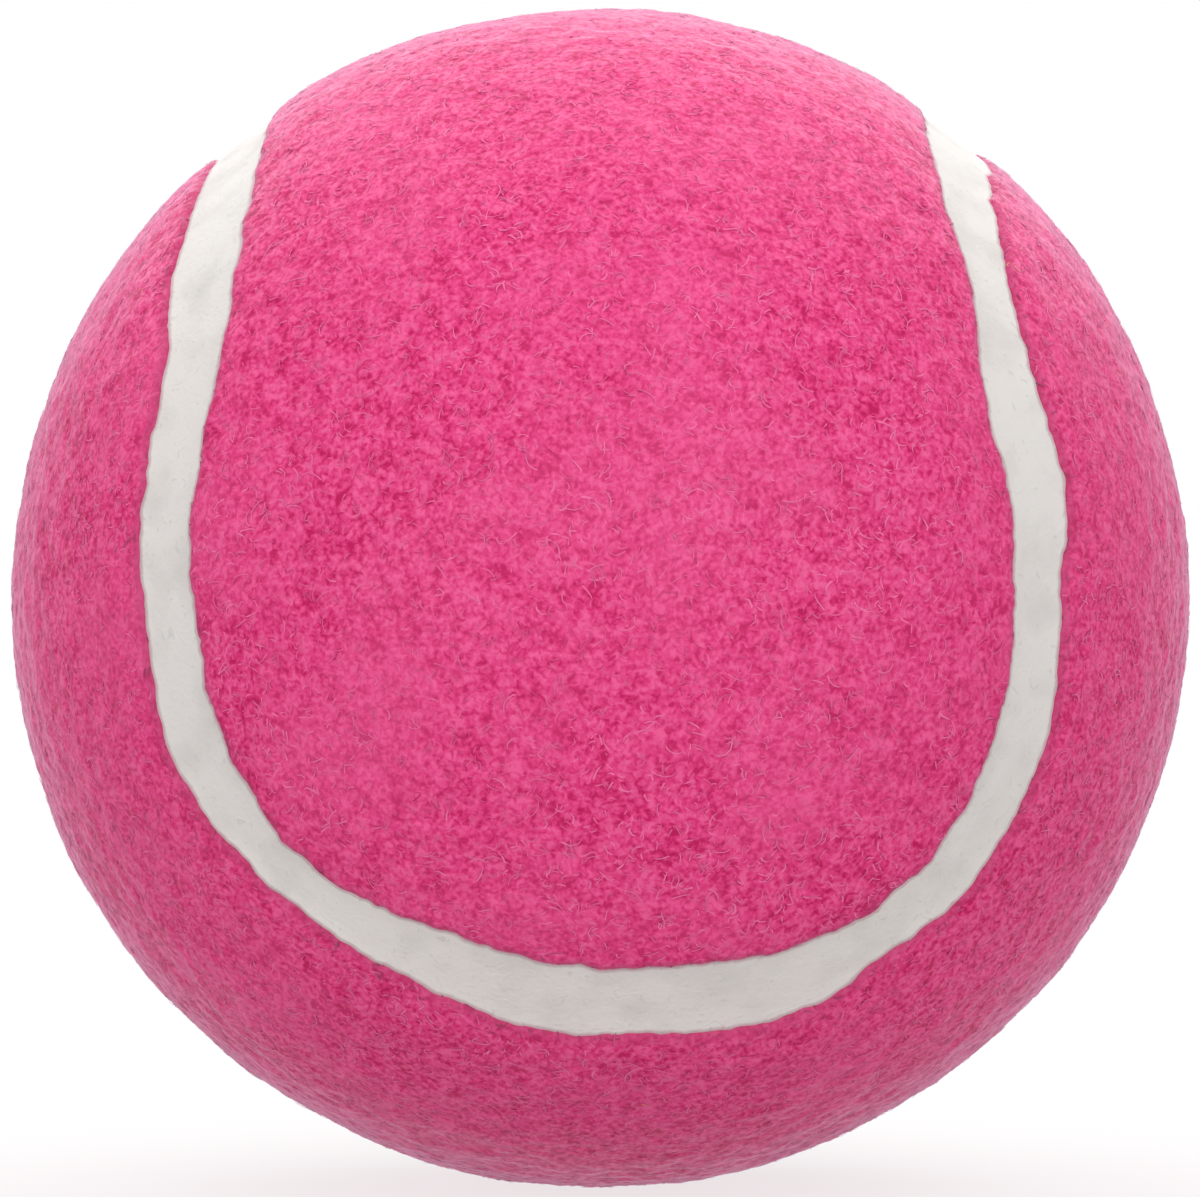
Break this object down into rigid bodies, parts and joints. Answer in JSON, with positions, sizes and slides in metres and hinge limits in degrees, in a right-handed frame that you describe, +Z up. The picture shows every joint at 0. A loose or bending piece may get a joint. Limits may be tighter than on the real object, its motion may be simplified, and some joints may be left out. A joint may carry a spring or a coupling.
{
  "type": "tennis ball",
  "caption": "Hollow rubber ball covered by interlocking dog-bone felt panels with a recessed rubber seam.",
  "frame": {"origin": "centre of the ball", "axes": "+Z up and square to the joint between the two half shells; -Y towards the front, where one lobe of the top felt panel faces; +X to the right seen from the front"},
  "size_m": [0.067, 0.067, 0.067],
  "materials": {
    "core_rubber": "moulded natural rubber compound, matte charcoal",
    "joint_cement": "cured rubber cement, dark satin",
    "cover_cement": "cured latex cement, translucent cream",
    "cloth_backing": "plain woven cotton and nylon scrim, pale pink",
    "felt_nap": "raised wool and nylon felt, saturated pink",
    "seam_rubber": "moulded off-white rubber, matte with faint cloth marks"
  },
  "bodies": {
    "root": {"upper_half_shell": "core_rubber", "lower_half_shell": "core_rubber", "shell_joint_cement": "joint_cement", "cover_cement_coat": "cover_cement", "top_panel_backing": "cloth_backing", "bottom_panel_backing": "cloth_backing", "top_panel_nap": "felt_nap", "bottom_panel_nap": "felt_nap", "seam_rubber": "seam_rubber"}
  },
  "joints": []
}
